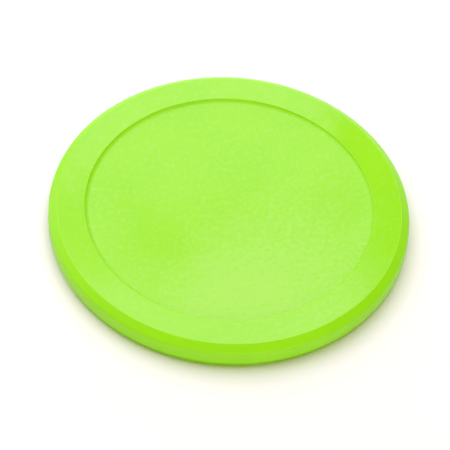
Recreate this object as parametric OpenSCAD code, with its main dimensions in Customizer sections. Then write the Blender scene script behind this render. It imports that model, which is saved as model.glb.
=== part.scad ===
// Flat round puck for a table game.
// One solid plastic moulding. Each face has a flat rim round a shallow recess. The upper edge of
// the side wall has a broad chamfer, and the lower edge has a narrow, steep bevel.
// Origin: centre of the underside. +Z points up through the thickness. Units are millimetres.

/* [Puck] */
// Diameter over the side wall
puck_d = 63.5; // [45:0.5:100]
// Thickness from rim face to rim face
puck_t = 4.8; // [4:0.1:8]

/* [Edges] */
// Width of the upper edge's chamfer, in from the side wall
chamfer_w = 1.45; // [0.8:0.05:2.5]
// Height of the upper edge's chamfer, along the side wall
chamfer_h = 1.1; // [0.6:0.05:1.2]
// Rounding of the crest, where the chamfer meets the rim face
crest_r = 0.3; // [0.1:0.05:0.6]
// Rounding of the shoulder, where the chamfer meets the side wall
shoulder_r = 0.8; // [0.1:0.05:1.2]
// Width of the lower edge's bevel, in from the side wall
bevel_w = 0.5; // [0.2:0.05:0.8]
// Height of the lower edge's bevel, along the side wall
bevel_h = 1.2; // [0.6:0.05:1.4]
// Rounding at both ends of the bevel
bevel_r = 0.2; // [0.05:0.05:0.3]

/* [Recesses] */
// Width of the upper rim face, from the chamfer to the recess
rim_w = 4.85; // [2:0.05:10]
// Depth of each recess below the rim face
recess_depth = 0.5; // [0.35:0.05:1]
// How far the recess wall leans in from its lip to its foot
recess_draft = 0.35; // [0.3:0.05:0.6]
// Rounding of the lip, where the rim face drops into the recess
lip_r = 0.1; // [0.05:0.05:0.25]
// Fillet at the foot of the recess wall
foot_r = 0.9; // [0.1:0.05:1]

/* [Hidden] */

// Turned all the way round, and each rounded corner of the cross-section in short steps
$fn = 180;
degrees_per_step = 10;

puck_r = puck_d / 2;
crest_at = puck_r - chamfer_w;
lip_at = crest_at - rim_w;
foot_at = lip_at - recess_draft;

// Corners of the upper face's cross-section, from the axis out to the side wall.
// Each corner is [distance from the axis, height, corner radius].
upper_corners = [
    [0, puck_t - recess_depth, 0],
    [foot_at, puck_t - recess_depth, foot_r],
    [lip_at, puck_t, lip_r],
    [crest_at, puck_t, crest_r],
    [puck_r, puck_t - chamfer_h, shoulder_r]
];

// Corners of the lower face's cross-section, from the side wall back in to the axis.
lower_corners = [
    [puck_r, bevel_h, bevel_r],
    [puck_r - bevel_w, 0, bevel_r],
    [lip_at, 0, lip_r],
    [foot_at, recess_depth, foot_r],
    [0, recess_depth, 0]
];

function spot(corner) = [corner[0], corner[1]];
function heading(from, to) = (to - from) / norm(to - from);
function swung(arm, angle) = [
    arm[0] * cos(angle) - arm[1] * sin(angle),
    arm[0] * sin(angle) + arm[1] * cos(angle)
];

// Points that take one corner of a clockwise outline round in an arc: an outer corner is
// rounded off, and an inner one is filled.
function rounded(before, corner, after) =
    let (
        tip = spot(corner),
        radius = corner[2],
        back = heading(tip, spot(before)),
        ahead = heading(tip, spot(after)),
        half_angle = acos(back * ahead) / 2,
        sweep = 180 - 2 * half_angle,
        steps = ceil(sweep / degrees_per_step),
        centre = tip + heading([0, 0], back + ahead) * radius / sin(half_angle),
        first_arm = tip + back * radius / tan(half_angle) - centre,
        direction = -sign(cross(back, ahead))
    )
    radius == 0
        ? [tip]
        : [for (i = [0:steps]) centre + swung(first_arm, direction * sweep * i / steps)];

module rounded_outline(corners) {
    count = len(corners);
    polygon([
        for (i = [0:count - 1])
            each rounded(corners[(i + count - 1) % count], corners[i], corners[(i + 1) % count])
    ]);
}

module puck() {
    color("greenyellow")
        rotate_extrude()
            rounded_outline(concat(upper_corners, lower_corners));
}

puck();
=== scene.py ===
"""A moulded lime-green table-game puck, with a plain studio to show it in."""
import math

import bmesh
import bpy
from bpy.props import FloatProperty, FloatVectorProperty, IntProperty, PointerProperty
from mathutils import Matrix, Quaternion, Vector


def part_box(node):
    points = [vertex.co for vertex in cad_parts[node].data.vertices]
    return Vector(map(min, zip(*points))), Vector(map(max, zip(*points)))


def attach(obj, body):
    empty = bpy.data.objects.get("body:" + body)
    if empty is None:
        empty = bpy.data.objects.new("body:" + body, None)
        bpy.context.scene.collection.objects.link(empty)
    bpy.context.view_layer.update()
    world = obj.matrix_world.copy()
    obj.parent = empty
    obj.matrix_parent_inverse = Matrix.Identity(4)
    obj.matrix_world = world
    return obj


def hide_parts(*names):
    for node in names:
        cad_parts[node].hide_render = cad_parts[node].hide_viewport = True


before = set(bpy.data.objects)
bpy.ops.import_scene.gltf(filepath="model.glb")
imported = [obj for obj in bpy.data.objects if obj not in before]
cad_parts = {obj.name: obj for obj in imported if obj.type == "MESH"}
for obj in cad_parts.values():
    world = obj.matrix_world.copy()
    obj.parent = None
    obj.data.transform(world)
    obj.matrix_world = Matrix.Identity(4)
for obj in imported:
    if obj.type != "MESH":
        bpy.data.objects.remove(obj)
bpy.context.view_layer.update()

bl_info = {
    "name": "Table Puck",
    "version": (1, 0, 0),
    "blender": (4, 5, 0),
    "location": "View3D > Sidebar > Puck",
    "description": "Moulds a plastic table-game puck and sets a plain studio round it",
    "category": "Object",
}

MM = 0.001
PUCK_LOW, PUCK_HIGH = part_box("puck")

# Order of the plastics on the piece
RIM, RECESS, EDGE, BEVEL = range(4)

# Height of a face's unit normal where its plastic changes: a recess floor's plastic runs up the
# fillet as far as the first, a rim face is flatter than the second, and the bevel looks down past the third
STEEPEST_FLOOR = 0.82
FLATTEST_EDGE = 0.999
BEVEL_TILT = -0.05

# Most values of a noise lie in the first range and nearly all in the second, round the middle
NOISE_MOST = (0.3, 0.7)
NOISE_ALL = (0.2, 0.8)
NOISE_MIDDLE = 0.5

# Faint mottle in every plastic's roughness
MOTTLE_SIZE = 1.2 * MM
MOTTLE_STRENGTH = 0.03

# Colour of the pigment clouds on the edges, as a share of the colour round them
EDGE_CLOUD_SHADE = 0.97

# How much of its painted glints the plastic keeps where it is rubbed dull
RUBBED_GLINT_SHARE = 0.5

# A mark's reach holds this many wanders of its border, and this many of their depths
WANDERS_IN_REACH = 4
DEPTHS_IN_REACH = 6

# Depths below its face between which a rubbed patch or a patch of painted sheen fades out
MARK_FADE_START = 0.1 * MM
MARK_FADE_END = 0.3 * MM

# Patches on the upper face as (x, y, reach, amount), all but the amount in millimetres: the sheen patches are
# painted sheen, paler where the face mirrors more light, and the rubs are rougher and keep fewer painted
# glints
RIM_SHEEN_PATCHES = ((15, -23, 16, 0.3), (-14, -25, 12, 0.1))
RIM_RUBS = ((32, 7, 30, 0.9), (25, 20, 22, 0.5), (28, -12, 18, 0.3), (-28, -6, 30, 0.55))
RECESS_SHEEN_PATCHES = ((9, -15, 26, 0.9), (1, -21, 15, 0.6))
RECESS_RUBS = ((-11, -8, 17, 0.45), (21, 4, 14, 0.3), (2, 2, 14, 0.25), (-20, 4, 10, 0.2))

SENSOR_WIDTH_MM = 36
NEAREST_SEEN = 0.01
FLOOR_ROUGHNESS = 0.9


class PuckSizes(bpy.types.PropertyGroup):
    """Sizes of the moulding"""

    diameter: FloatProperty(
        name="Diameter", description="Across the side wall",
        default=PUCK_HIGH.x - PUCK_LOW.x, unit="LENGTH")
    thickness: FloatProperty(
        name="Thickness", description="From rim face to rim face",
        default=PUCK_HIGH.z - PUCK_LOW.z, unit="LENGTH")
    chamfer_width: FloatProperty(
        name="Chamfer width", description="Upper edge's chamfer, in from the side wall",
        default=1.45 * MM, unit="LENGTH")
    chamfer_height: FloatProperty(
        name="Chamfer height", description="Upper edge's chamfer, along the side wall",
        default=1.1 * MM, unit="LENGTH")
    crest_round: FloatProperty(
        name="Crest rounding", description="Where the chamfer meets the rim face",
        default=0.3 * MM, unit="LENGTH")
    shoulder_round: FloatProperty(
        name="Shoulder rounding", description="Where the chamfer meets the side wall",
        default=0.8 * MM, unit="LENGTH")
    bevel_width: FloatProperty(
        name="Bevel width", description="Lower edge's bevel, in from the side wall",
        default=0.5 * MM, unit="LENGTH")
    bevel_height: FloatProperty(
        name="Bevel height", description="Lower edge's bevel, along the side wall",
        default=1.2 * MM, unit="LENGTH")
    bevel_round: FloatProperty(
        name="Bevel rounding", description="Where the bevel meets the side wall and the lower rim face",
        default=0.2 * MM, unit="LENGTH")
    rim_width: FloatProperty(
        name="Rim width", description="Upper rim face, from the chamfer to the recess",
        default=4.85 * MM, unit="LENGTH")
    recess_depth: FloatProperty(
        name="Recess depth", description="Each recess, below the rim face",
        default=0.5 * MM, unit="LENGTH")
    recess_draft: FloatProperty(
        name="Recess draft", description="How far the recess wall leans in from lip to foot",
        default=0.35 * MM, unit="LENGTH")
    lip_round: FloatProperty(
        name="Lip rounding", description="Where the rim face drops into the recess",
        default=0.1 * MM, unit="LENGTH")
    foot_fillet: FloatProperty(
        name="Foot fillet", description="At the foot of the recess wall",
        default=0.9 * MM, unit="LENGTH")
    steps_round: IntProperty(
        name="Steps round", description="Flats that make up the full turn", default=288)
    steps_corner: IntProperty(
        name="Steps per corner", description="Flats that make up each rounded corner", default=8)


class PuckFinish(bpy.types.PropertyGroup):
    """Colours and surface of the plastic"""

    lime: FloatVectorProperty(
        name="Lime", description="Colour of the plastic",
        default=(0.291, 0.684, 0.004), subtype="COLOR", size=3)
    lime_deep: FloatVectorProperty(
        name="Deep lime", description="Colour where the pigment clouds are densest",
        default=(0.277, 0.67, 0.003), subtype="COLOR", size=3)
    # Painted sheen: the pale lime paints the sheen patches and the glints of the grain, in place of light
    # mirrored off the faces
    lime_painted_sheen: FloatVectorProperty(
        name="Pale lime", description="Colour where the surface is scuffed pale",
        default=(0.336, 0.685, 0.055), subtype="COLOR", size=3)
    # Painted light: the edge lime is brighter than the rim's lime, so that the chamfers and walls look more
    # strongly lit
    lime_edge_painted_light: FloatVectorProperty(
        name="Edge lime", description="Fresher colour of the unworn edges and walls",
        default=(0.303, 0.735, 0.003), subtype="COLOR", size=3)
    # Painted shade: the deeper bevel lime darkens the lower bevel to stand in for the contact shade at the
    # foot, where the bevel faces the shadowed floor
    lime_bevel_painted_shade: FloatVectorProperty(
        name="Bevel lime", description="Deeper colour of the lower bevel, which is grubby from sliding",
        default=(0.24, 0.585, 0.003), subtype="COLOR", size=3)
    cloud_size: FloatProperty(
        name="Cloud size", description="Pitch of the clouds in the pigment", default=9 * MM, unit="LENGTH")
    rim_roughness: FloatProperty(
        name="Rim roughness", description="Satin finish of the rim faces",
        default=0.33, subtype="FACTOR")
    rubbed_roughness: FloatProperty(
        name="Rubbed roughness", description="Finish where the rim or a recess floor is rubbed dull",
        default=0.95, subtype="FACTOR")
    recess_roughness: FloatProperty(
        name="Recess roughness", description="Finish of the grained recess floors",
        default=0.45, subtype="FACTOR")
    edge_roughness: FloatProperty(
        name="Edge roughness", description="Finish of the edges and walls", default=0.4, subtype="FACTOR")
    edge_gloss: FloatProperty(
        name="Edge gloss", description="How strongly the edges and walls mirror their surroundings",
        default=0.4, subtype="FACTOR")
    bevel_gloss: FloatProperty(
        name="Bevel gloss", description="How strongly the bevel, dulled by sliding, mirrors its surroundings",
        default=0.05, subtype="FACTOR")
    # Painted glints: how strongly the grain of the edges and walls is painted pale, in place of glints off
    # the grain
    edge_glints: FloatProperty(
        name="Edge speckle", description="How strongly the grain of the edges and walls shows pale",
        default=0.5)
    grain_size: FloatProperty(
        name="Grain size", description="Pitch of the grain in the plastic", default=0.85 * MM, unit="LENGTH")
    rim_grain: FloatProperty(
        name="Rim grain", description="Relief of the grain on the rim faces, edges and walls",
        default=0.012 * MM, unit="LENGTH")
    # Painted glints: how strongly the rim's grain is painted pale, in place of glints off the grain
    rim_glints: FloatProperty(
        name="Rim speckle", description="How strongly the rim's grain shows pale", default=3.0)
    recess_grain: FloatProperty(
        name="Recess grain", description="Relief of the grain on the recess floors",
        default=0.06 * MM, unit="LENGTH")
    # Painted glints: how strongly the recess floors' grain is painted pale, in place of glints off the grain
    recess_glints: FloatProperty(
        name="Recess speckle", description="How strongly the grain of the recess floors shows pale",
        default=3.4)


class PuckStage(bpy.types.PropertyGroup):
    """Camera, floor and light"""

    camera_distance: FloatProperty(
        name="Camera distance", description="From the camera to the puck's underside",
        default=591.73 * MM, unit="LENGTH")
    camera_elevation: FloatProperty(
        name="Camera elevation", description="Camera's height above the floor, as an angle",
        default=math.radians(50.29), subtype="ANGLE")
    camera_roll: FloatProperty(
        name="Camera roll", description="Turn of the camera about its own line of sight",
        default=math.radians(4.475), subtype="ANGLE")
    camera_lens: FloatProperty(
        name="Focal length", description="Focal length, in millimetres on a 36 mm wide sensor",
        default=268.2)
    camera_aim: FloatVectorProperty(
        name="Camera aim", description="Point in the middle of the picture",
        default=(-0.567 * MM, -2.312 * MM, 2.55 * MM), subtype="XYZ", unit="LENGTH", size=3)
    panel_place: FloatVectorProperty(
        name="Panel place", description="Middle of the overhead light panel",
        default=(-0.25, 0.6, 0.8), subtype="XYZ", unit="LENGTH", size=3)
    panel_width: FloatProperty(
        name="Panel width", description="Overhead panel, from side to side", default=1.4, unit="LENGTH")
    panel_depth: FloatProperty(
        name="Panel depth", description="Overhead panel, from front to back", default=1.5, unit="LENGTH")
    panel_power: FloatProperty(
        name="Panel power", description="Power of the overhead panel, in watts", default=16.3)
    panel_colour: FloatVectorProperty(
        name="Panel colour", description="Colour of the overhead panel",
        default=(0.97, 0.97, 1), subtype="COLOR", size=3)
    fill_place: FloatVectorProperty(
        name="Fill place", description="Middle of the low front light",
        default=(0.2, -0.74, 0.26), subtype="XYZ", unit="LENGTH", size=3)
    fill_width: FloatProperty(
        name="Fill width", description="Low front light, from side to side", default=0.9, unit="LENGTH")
    fill_power: FloatProperty(
        name="Fill power", description="Power of the low front light, in watts", default=3.4)
    fill_colour: FloatVectorProperty(
        name="Fill colour", description="Warm colour of the low front light",
        default=(0.97, 1, 0.3), subtype="COLOR", size=3)
    side_place: FloatVectorProperty(
        name="Side place", description="Middle of the low light at the left",
        default=(-0.8, 0.5, 0.3), subtype="XYZ", unit="LENGTH", size=3)
    side_width: FloatProperty(
        name="Side width", description="Low light at the left, from front to back",
        default=0.6, unit="LENGTH")
    side_power: FloatProperty(
        name="Side power", description="Power of the low light at the left, in watts", default=1.4)
    side_colour: FloatVectorProperty(
        name="Side colour", description="Colour of the low light at the left",
        default=(1, 1, 0.9), subtype="COLOR", size=3)
    back_place: FloatVectorProperty(
        name="Back place", description="Middle of the low light at the back",
        default=(0.2, 1.3, 0.3), subtype="XYZ", unit="LENGTH", size=3)
    back_width: FloatProperty(
        name="Back width", description="Low light at the back, from side to side",
        default=1.8, unit="LENGTH")
    back_power: FloatProperty(
        name="Back power", description="Power of the low light at the back, in watts", default=4.0)
    back_colour: FloatVectorProperty(
        name="Back colour", description="Colour of the low light at the back",
        default=(1, 1, 1), subtype="COLOR", size=3)
    low_height: FloatProperty(
        name="Low light height", description="Each low light, from bottom to top", default=0.4, unit="LENGTH")
    ambient: FloatProperty(
        name="Ambient light", description="Strength of the even light from all round", default=0.18)
    ambient_colour: FloatVectorProperty(
        name="Ambient colour", description="Colour of the even light from all round",
        default=(0.97, 1, 0.5), subtype="COLOR", size=3)
    floor_colour: FloatVectorProperty(
        name="Floor colour", description="Pale colour of the floor",
        default=(0.93, 0.865, 0.97), subtype="COLOR", size=3)
    floor_size: FloatProperty(
        name="Floor size", description="Side of the square floor", default=6.0, unit="LENGTH")
    floor_gap: FloatProperty(
        name="Floor gap", description="Hair's breadth between the puck and the floor",
        default=0.02 * MM, unit="LENGTH")


def upper_corners(sizes):
    """Corners of the upper face's section, from the axis out, as (distance, height, rounding)."""
    radius = sizes.diameter / 2
    crest = radius - sizes.chamfer_width
    lip = crest - sizes.rim_width
    foot = lip - sizes.recess_draft
    top = sizes.thickness
    floor = top - sizes.recess_depth
    return [
        (0, floor, 0),
        (foot, floor, sizes.foot_fillet),
        (lip, top, sizes.lip_round),
        (crest, top, sizes.crest_round),
        (radius, top - sizes.chamfer_height, sizes.shoulder_round),
    ]


def lower_corners(sizes):
    """Corners of the lower face's section, from the side wall in. Its recess is the upper one turned over."""
    radius = sizes.diameter / 2
    bevel = [
        (radius, sizes.bevel_height, sizes.bevel_round),
        (radius - sizes.bevel_width, 0, sizes.bevel_round),
    ]
    recess = [
        (distance, sizes.thickness - height, rounding)
        for distance, height, rounding in reversed(upper_corners(sizes)[:3])
    ]
    return bevel + recess


def ring_edges(mesh, distance, height):
    """Edges that run round the axis at this distance and height."""
    slack = 0.001 * MM

    def on_ring(vert):
        return abs(vert.co.xy.length - distance) < slack and abs(vert.co.z - height) < slack

    return [edge for edge in mesh.edges if all(on_ring(vert) for vert in edge.verts)]


def round_corner(mesh, before, corner, after, steps):
    """Round one corner of the spun section to its own radius."""
    distance, height, rounding = corner
    tip = Vector((distance, height))
    turn = (tip - Vector(before[:2])).angle(Vector(after[:2]) - tip)
    bmesh.ops.bevel(
        mesh, geom=ring_edges(mesh, distance, height), offset=rounding * math.tan(turn / 2),
        offset_type="OFFSET", affect="EDGES", segments=steps, profile=0.5, material=-1)


def moulding_mesh(sizes):
    """The puck as one closed mesh: its section spun about the axis, with every corner rounded."""
    section = upper_corners(sizes) + lower_corners(sizes)
    merge_within = 0.0001 * MM
    mesh = bmesh.new()
    verts = [mesh.verts.new((distance, 0, height)) for distance, height, rounding in section]
    edges = [mesh.edges.new(pair) for pair in zip(verts, verts[1:])]
    bmesh.ops.spin(
        mesh, geom=verts + edges, cent=(0, 0, 0), axis=(0, 0, 1),
        angle=math.tau, steps=sizes.steps_round, use_merge=True)
    bmesh.ops.remove_doubles(mesh, verts=mesh.verts, dist=merge_within)
    for before, corner, after in zip(section, section[1:], section[2:]):
        if corner[2] > 0:
            round_corner(mesh, before, corner, after, sizes.steps_corner)
    bmesh.ops.recalc_face_normals(mesh, faces=mesh.faces)
    return mesh


class PlasticNodes:
    """Builds the nodes of one plastic material, all on the piece's own coordinates."""

    def __init__(self, name):
        self.material = bpy.data.materials.new(name)
        self.material.use_nodes = True
        self.nodes = self.material.node_tree.nodes
        self.shader = self.nodes["Principled BSDF"]
        self.place = self.nodes.new("ShaderNodeTexCoord").outputs["Object"]

    def link(self, output, target):
        """Lead a node's output to an input."""
        self.material.node_tree.links.new(output, target)

    def noise(self, size, detail):
        """Soft noise with this pitch."""
        node = self.nodes.new("ShaderNodeTexNoise")
        node.inputs["Scale"].default_value = 1 / size
        node.inputs["Detail"].default_value = detail
        self.link(self.place, node.inputs["Vector"])
        return node.outputs["Fac"]

    def span(self, value, low, high, to_low, to_high):
        """Carry a value from one range smoothly over to another."""
        node = self.nodes.new("ShaderNodeMapRange")
        node.interpolation_type = "SMOOTHSTEP"
        for name, number in zip(("From Min", "From Max", "To Min", "To Max"), (low, high, to_low, to_high)):
            node.inputs[name].default_value = number
        self.link(value, node.inputs["Value"])
        return node.outputs["Result"]

    def sums(self, operation, first, second):
        """Work out one number from two, each a node's output or a plain number."""
        node = self.nodes.new("ShaderNodeMath")
        node.operation = operation
        for value, target in zip((first, second), node.inputs):
            if isinstance(value, (int, float)):
                target.default_value = value
            else:
                self.link(value, target)
        return node.outputs["Value"]

    def distance_from(self, spot):
        """Distance from a spot on the piece."""
        node = self.nodes.new("ShaderNodeVectorMath")
        node.operation = "DISTANCE"
        node.inputs[1].default_value = spot
        self.link(self.place, node.inputs[0])
        return node.outputs["Value"]

    def patch(self, spot, reach):
        """A patch with a soft ragged border: 1 in its middle and 0 outside it."""
        depth = reach / DEPTHS_IN_REACH
        wander = self.span(self.noise(reach / WANDERS_IN_REACH, detail=3), *NOISE_ALL, -depth, depth)
        edge = self.sums("ADD", self.distance_from(spot), wander)
        return self.span(edge, 0, reach, 1, 0)

    def mix(self, factor, first, second):
        """Blend two colours, each a node's output or plain numbers."""
        node = self.nodes.new("ShaderNodeMix")
        node.data_type = "RGBA"
        self.link(factor, node.inputs["Factor"])
        for value, target in ((first, node.inputs["A"]), (second, node.inputs["B"])):
            if isinstance(value, bpy.types.NodeSocket):
                self.link(value, target)
            else:
                target.default_value = (*value, 1)
        return node.outputs["Result"]

    def marks(self, places, height):
        """How much the patches, rubbed or of painted sheen, show at each point of the face at this height."""
        total = 0
        for x, y, reach, amount in places:
            patch = self.patch((x * MM, y * MM, height), reach * MM)
            total = self.sums("ADD", self.sums("MULTIPLY", patch, amount), total)
        parts = self.nodes.new("ShaderNodeSeparateXYZ")
        self.link(self.place, parts.inputs["Vector"])
        level = self.span(parts.outputs["Z"], height - MARK_FADE_END, height - MARK_FADE_START, 0, 1)
        return self.sums("MULTIPLY", total, level)

    def painted_glints(self, grain, strength):
        """Painted glints: how much paler or deeper the grain is painted at each point, by a node's output or
        a plain number.
        """
        return self.sums("MULTIPLY", self.sums("SUBTRACT", grain, NOISE_MIDDLE), strength)

    def colour(self, finish, light, dark, painted_sheen_amount):
        """Lime with faint clouds in its pigment, painted paler by the given amount of painted sheen."""
        clouds = self.span(self.noise(finish.cloud_size, detail=4), *NOISE_MOST, 0, 1)
        pigment = self.mix(clouds, light, dark)
        self.link(self.mix(painted_sheen_amount, pigment, finish.lime_painted_sheen), self.shader.inputs["Base Color"])

    def roughness(self, value):
        """Roughness with a faint mottle."""
        mottle = self.span(self.noise(MOTTLE_SIZE, detail=3), *NOISE_MOST, -MOTTLE_STRENGTH, MOTTLE_STRENGTH)
        self.link(self.sums("ADD", value, mottle), self.shader.inputs["Roughness"])

    def grain(self, noise, height):
        """Fine moulded grain with this relief."""
        bump = self.nodes.new("ShaderNodeBump")
        bump.inputs["Distance"].default_value = height
        self.link(noise, bump.inputs["Height"])
        self.link(bump.outputs["Normal"], self.shader.inputs["Normal"])


def worn_plastic_with_painted_sheen(finish, name, height, sheen_patches, rubs, roughness, relief, speckle):
    """Lime plastic with a fine grain and painted glints on it, and with rubbed patches and patches of painted
    sheen on the face at this height.
    """
    plastic = PlasticNodes(name)
    grain = plastic.noise(finish.grain_size, detail=2)
    rubbed = plastic.marks(rubs, height)
    # Where a face is rubbed dull, only a share of its painted glints stays
    strength = plastic.span(rubbed, 0, 1, speckle, speckle * RUBBED_GLINT_SHARE)
    # Painted sheen: the sheen patches and the painted glints turn the lime paler
    painted_sheen_amount = plastic.sums("ADD", plastic.marks(sheen_patches, height), plastic.painted_glints(grain, strength))
    plastic.colour(finish, finish.lime, finish.lime_deep, painted_sheen_amount)
    plastic.roughness(plastic.span(rubbed, 0, 1, roughness, finish.rubbed_roughness))
    plastic.grain(grain, relief)
    return plastic.material


def rim_plastic(finish, sizes):
    """Satin plastic of the rim faces."""
    return worn_plastic_with_painted_sheen(
        finish, "lime_rim", sizes.thickness, RIM_SHEEN_PATCHES, RIM_RUBS,
        finish.rim_roughness, finish.rim_grain, finish.rim_glints)


def recess_plastic(finish, sizes):
    """Grained plastic of the recess floors."""
    return worn_plastic_with_painted_sheen(
        finish, "lime_recess", sizes.thickness - sizes.recess_depth, RECESS_SHEEN_PATCHES, RECESS_RUBS,
        finish.recess_roughness, finish.recess_grain, finish.recess_glints)


def edge_plastic(finish, name, lime, gloss):
    """Plain plastic of the edges and walls, in this colour and with this much gloss."""
    plastic = PlasticNodes(name)
    grain = plastic.noise(finish.grain_size, detail=2)
    # The lime given is painted light on the edges and walls, and painted shade on the bevel
    deeper_lime = [EDGE_CLOUD_SHADE * part for part in lime]
    plastic.colour(finish, lime, deeper_lime, plastic.painted_glints(grain, finish.edge_glints))
    plastic.roughness(finish.edge_roughness)
    plastic.shader.inputs["Specular IOR Level"].default_value = gloss
    plastic.grain(grain, finish.rim_grain)
    return plastic.material


def plastic_at(face, recess_reach):
    """Which plastic a face has, by its distance from the axis and the way it looks."""
    rise = face.normal.z
    if face.calc_center_median().xy.length < recess_reach:
        return RECESS if abs(rise) > STEEPEST_FLOOR else EDGE
    if abs(rise) > FLATTEST_EDGE:
        return RIM
    return BEVEL if rise < BEVEL_TILT else EDGE


class PUCK_OT_mould(bpy.types.Operator):
    """Mould the puck and give it its plastic"""

    bl_idname = "puck.mould"
    bl_label = "Mould the Puck"

    def execute(self, context):
        sizes = context.scene.puck_sizes
        finish = context.scene.puck_finish
        shape = moulding_mesh(sizes)
        lip = upper_corners(sizes)[2][0]
        for face in shape.faces:
            face.smooth = True
            face.material_index = plastic_at(face, lip + sizes.lip_round)
        data = bpy.data.meshes.new("puck_moulding")
        shape.to_mesh(data)
        shape.free()
        plastics = {
            RIM: rim_plastic(finish, sizes),
            RECESS: recess_plastic(finish, sizes),
            # The edges' plastic carries painted light: its lime is brighter than the rim's, to light the
            # chamfers and walls
            EDGE: edge_plastic(finish, "lime_edge_painted_light", finish.lime_edge_painted_light, finish.edge_gloss),
            # The bevel's plastic carries painted shade: its deeper lime stands in for the contact shade at
            # the foot
            BEVEL: edge_plastic(finish, "lime_bevel_painted_shade", finish.lime_bevel_painted_shade, finish.bevel_gloss),
        }
        for index in sorted(plastics):
            data.materials.append(plastics[index])
        piece = bpy.data.objects.new("puck_moulding", data)
        context.scene.collection.objects.link(piece)
        evened = piece.modifiers.new("even_shading", "WEIGHTED_NORMAL")
        evened.mode = "FACE_AREA"
        evened.weight = 100
        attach(piece, "root")
        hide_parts("puck")
        return {"FINISHED"}


def add_camera(context, stage):
    """Camera at the height, turn and framing of the photograph."""
    lens = bpy.data.cameras.new("camera")
    lens.sensor_width = SENSOR_WIDTH_MM
    lens.lens = stage.camera_lens
    lens.clip_start = NEAREST_SEEN
    camera = bpy.data.objects.new("camera", lens)
    context.scene.collection.objects.link(camera)
    rise = stage.camera_elevation
    camera.location = Vector((0, -math.cos(rise), math.sin(rise))) * stage.camera_distance
    sight = Vector(stage.camera_aim) - camera.location
    camera.rotation_mode = "QUATERNION"
    camera.rotation_quaternion = sight.to_track_quat("-Z", "Y") @ Quaternion((0, 0, 1), stage.camera_roll)
    context.scene.camera = camera


def add_floor(context, stage):
    """Pale seamless floor under the puck."""
    shape = bmesh.new()
    bmesh.ops.create_grid(shape, x_segments=1, y_segments=1, size=stage.floor_size / 2)
    bmesh.ops.translate(shape, verts=shape.verts, vec=(0, 0, -stage.floor_gap))
    data = bpy.data.meshes.new("floor")
    shape.to_mesh(data)
    shape.free()
    floor = bpy.data.objects.new("floor", data)
    context.scene.collection.objects.link(floor)
    paint = bpy.data.materials.new("floor_white")
    paint.use_nodes = True
    shader = paint.node_tree.nodes["Principled BSDF"]
    shader.inputs["Base Color"].default_value = (*stage.floor_colour, 1)
    shader.inputs["Roughness"].default_value = FLOOR_ROUGHNESS
    shader.inputs["Specular IOR Level"].default_value = 0
    data.materials.append(paint)


def add_softbox(context, name, place, width, height, power, colour):
    """Rectangular soft light that faces straight down until it is turned."""
    lamp = bpy.data.lights.new(name, "AREA")
    lamp.shape = "RECTANGLE"
    lamp.size = width
    lamp.size_y = height
    lamp.energy = power
    lamp.color = colour
    light = bpy.data.objects.new(name, lamp)
    context.scene.collection.objects.link(light)
    light.location = place
    light.visible_camera = False
    return light


class PUCK_OT_stage(bpy.types.Operator):
    """Set the floor, the soft light and the camera"""

    bl_idname = "puck.stage"
    bl_label = "Set the Stage"

    def execute(self, context):
        stage = context.scene.puck_stage
        add_camera(context, stage)
        add_floor(context, stage)
        add_softbox(
            context, "overhead", stage.panel_place,
            stage.panel_width, stage.panel_depth, stage.panel_power, stage.panel_colour)
        low_lights = (
            ("front", stage.fill_place, stage.fill_width, stage.fill_power, stage.fill_colour),
            ("side", stage.side_place, stage.side_width, stage.side_power, stage.side_colour),
            ("back", stage.back_place, stage.back_width, stage.back_power, stage.back_colour),
        )
        for name, place, width, power, colour in low_lights:
            light = add_softbox(context, name, place, width, stage.low_height, power, colour)
            light.rotation_mode = "QUATERNION"
            light.rotation_quaternion = (-light.location).to_track_quat("-Z", "Y")
        world = bpy.data.worlds.new("studio")
        world.use_nodes = True
        world.node_tree.nodes["Background"].inputs["Color"].default_value = (*stage.ambient_colour, 1)
        world.node_tree.nodes["Background"].inputs["Strength"].default_value = stage.ambient
        context.scene.world = world
        context.scene.view_settings.view_transform = "Standard"
        return {"FINISHED"}


class VIEW3D_PT_puck(bpy.types.Panel):
    """Puck sizes, finish and stage"""

    bl_label = "Puck"
    bl_space_type = "VIEW_3D"
    bl_region_type = "UI"
    bl_category = "Puck"

    def draw(self, context):
        groups = (
            (context.scene.puck_sizes, "puck.mould"),
            (context.scene.puck_finish, "puck.mould"),
            (context.scene.puck_stage, "puck.stage"),
        )
        for group, operator in groups:
            box = self.layout.box()
            for name in group.__annotations__:
                box.prop(group, name)
            box.operator(operator)


CLASSES = (PuckSizes, PuckFinish, PuckStage, PUCK_OT_mould, PUCK_OT_stage, VIEW3D_PT_puck)


def register():
    for kind in CLASSES:
        bpy.utils.register_class(kind)
    bpy.types.Scene.puck_sizes = PointerProperty(type=PuckSizes)
    bpy.types.Scene.puck_finish = PointerProperty(type=PuckFinish)
    bpy.types.Scene.puck_stage = PointerProperty(type=PuckStage)


def unregister():
    del bpy.types.Scene.puck_stage
    del bpy.types.Scene.puck_finish
    del bpy.types.Scene.puck_sizes
    for kind in reversed(CLASSES):
        bpy.utils.unregister_class(kind)


def main():
    """Mould the puck and set the stage."""
    register()
    bpy.ops.puck.mould()
    bpy.ops.puck.stage()


if __name__ == "__main__":
    main()
